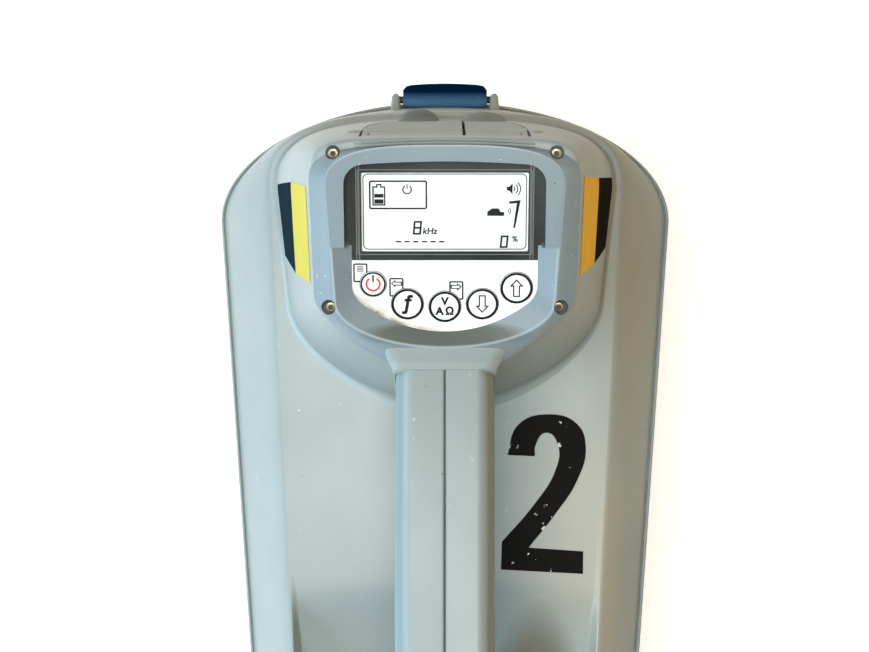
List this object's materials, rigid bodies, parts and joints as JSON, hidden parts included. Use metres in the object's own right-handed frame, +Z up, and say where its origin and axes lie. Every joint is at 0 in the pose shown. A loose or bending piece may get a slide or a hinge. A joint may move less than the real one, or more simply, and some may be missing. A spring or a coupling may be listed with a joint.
{
  "type": "cable locator transmitter",
  "caption": "Cable-locating signal transmitter: moulded housing with tilted display head, key pad and carrying handle, hinged and latched to an accessory tray.",
  "frame": {"origin": "on the floor under the middle of the whole transmitter", "axes": "+Y to the front, where the latch is; +Z up; +X to the right as seen from above with the front up"},
  "size_m": [0.216, 0.64, 0.2647],
  "materials": {
    "tray_plastic": "moulded grey, fine texture",
    "foot_rubber": "matt black",
    "steel": "plain",
    "housing_plastic": "moulded light grey, scuffed",
    "pan_plastic": "moulded dark grey",
    "seal_rubber": "matt black",
    "bezel_plastic": "moulded blue grey, scuffed",
    "screw_brass": "dulled",
    "window_plastic": "glossy, black printed border",
    "lcd_glass": "pale grey display",
    "inner_plastic": "black",
    "keypad_film": "printed white film",
    "board": "green lacquer",
    "key_white": "satin white",
    "handle_plastic": "moulded light grey, worn",
    "flap_rubber": "soft grey",
    "latch_plastic": "moulded deep blue",
    "core": "dark grey",
    "copper": "enamelled wire",
    "cell_jacket": "printed jacket, plain"
  },
  "bodies": {
    "tray": {"accessory_tray": "tray_plastic", "tray_feet": "foot_rubber", "tray_hinge_pin": "steel"},
    "housing": {"upper_shell": "housing_plastic", "base_pan": "pan_plastic", "pan_seal": "seal_rubber", "pan_screws": "steel", "display_bezel": "bezel_plastic", "bezel_seal": "seal_rubber", "bezel_screws": "screw_brass", "display_window": "window_plastic", "lcd_panel": "lcd_glass", "lcd_frame": "inner_plastic", "keypad_overlay": "keypad_film", "control_board": "board", "dome_switches": "steel", "sounder": "inner_plastic", "handle_left": "handle_plastic", "handle_right": "handle_plastic", "handle_screws": "steel", "output_socket": "inner_plastic", "power_socket": "inner_plastic", "flap_pin": "steel", "latch_pin": "steel", "main_board": "board", "transformer": "core", "ferrite_rod": "core", "coil_winding": "copper", "coil_clips": "inner_plastic", "battery_case": "inner_plastic", "battery_cells": "cell_jacket", "battery_contacts": "steel", "battery_door": "pan_plastic", "door_screws": "steel"},
    "latch": {"latch": "latch_plastic"},
    "output_cover": {"output_flap": "flap_rubber"},
    "power_cover": {"power_flap": "flap_rubber"},
    "power_key": {"key_power": "key_white"},
    "frequency_key": {"key_frequency": "key_white"},
    "measure_key": {"key_measure": "key_white"},
    "down_key": {"key_down": "key_white"},
    "up_key": {"key_up": "key_white"}
  },
  "joints": [
    {"name": "housing_hinge", "type": "hinge", "parent": "tray", "child": "housing", "pos_m": [0, -0.3145, 0.106], "axis": [1, 0, 0], "range_deg": [0, 60]},
    {"name": "latch_hinge", "type": "hinge", "parent": "housing", "child": "latch", "pos_m": [0, 0.3075, 0.12], "axis": [1, 0, 0], "range_deg": [0, 110]},
    {"name": "output_flap_hinge", "type": "hinge", "parent": "housing", "child": "output_cover", "pos_m": [0, 0.28117, 0.23238], "axis": [1, 0, 0], "range_deg": [0, 90]},
    {"name": "power_flap_hinge", "type": "hinge", "parent": "housing", "child": "power_cover", "pos_m": [0, 0.28117, 0.23238], "axis": [1, 0, 0], "range_deg": [0, 90]},
    {"name": "power_key_press", "type": "slide", "parent": "housing", "child": "power_key", "axis": [0, 0.3024, -0.9532], "range_m": [0, 0.0008], "stiffness_N_per_m": 800},
    {"name": "frequency_key_press", "type": "slide", "parent": "housing", "child": "frequency_key", "axis": [0, 0.3024, -0.9532], "range_m": [0, 0.0008], "stiffness_N_per_m": 800},
    {"name": "measure_key_press", "type": "slide", "parent": "housing", "child": "measure_key", "axis": [0, 0.3024, -0.9532], "range_m": [0, 0.0008], "stiffness_N_per_m": 800},
    {"name": "down_key_press", "type": "slide", "parent": "housing", "child": "down_key", "axis": [0, 0.3024, -0.9532], "range_m": [0, 0.0008], "stiffness_N_per_m": 800},
    {"name": "up_key_press", "type": "slide", "parent": "housing", "child": "up_key", "axis": [0, 0.3024, -0.9532], "range_m": [0, 0.0008], "stiffness_N_per_m": 800}
  ]
}
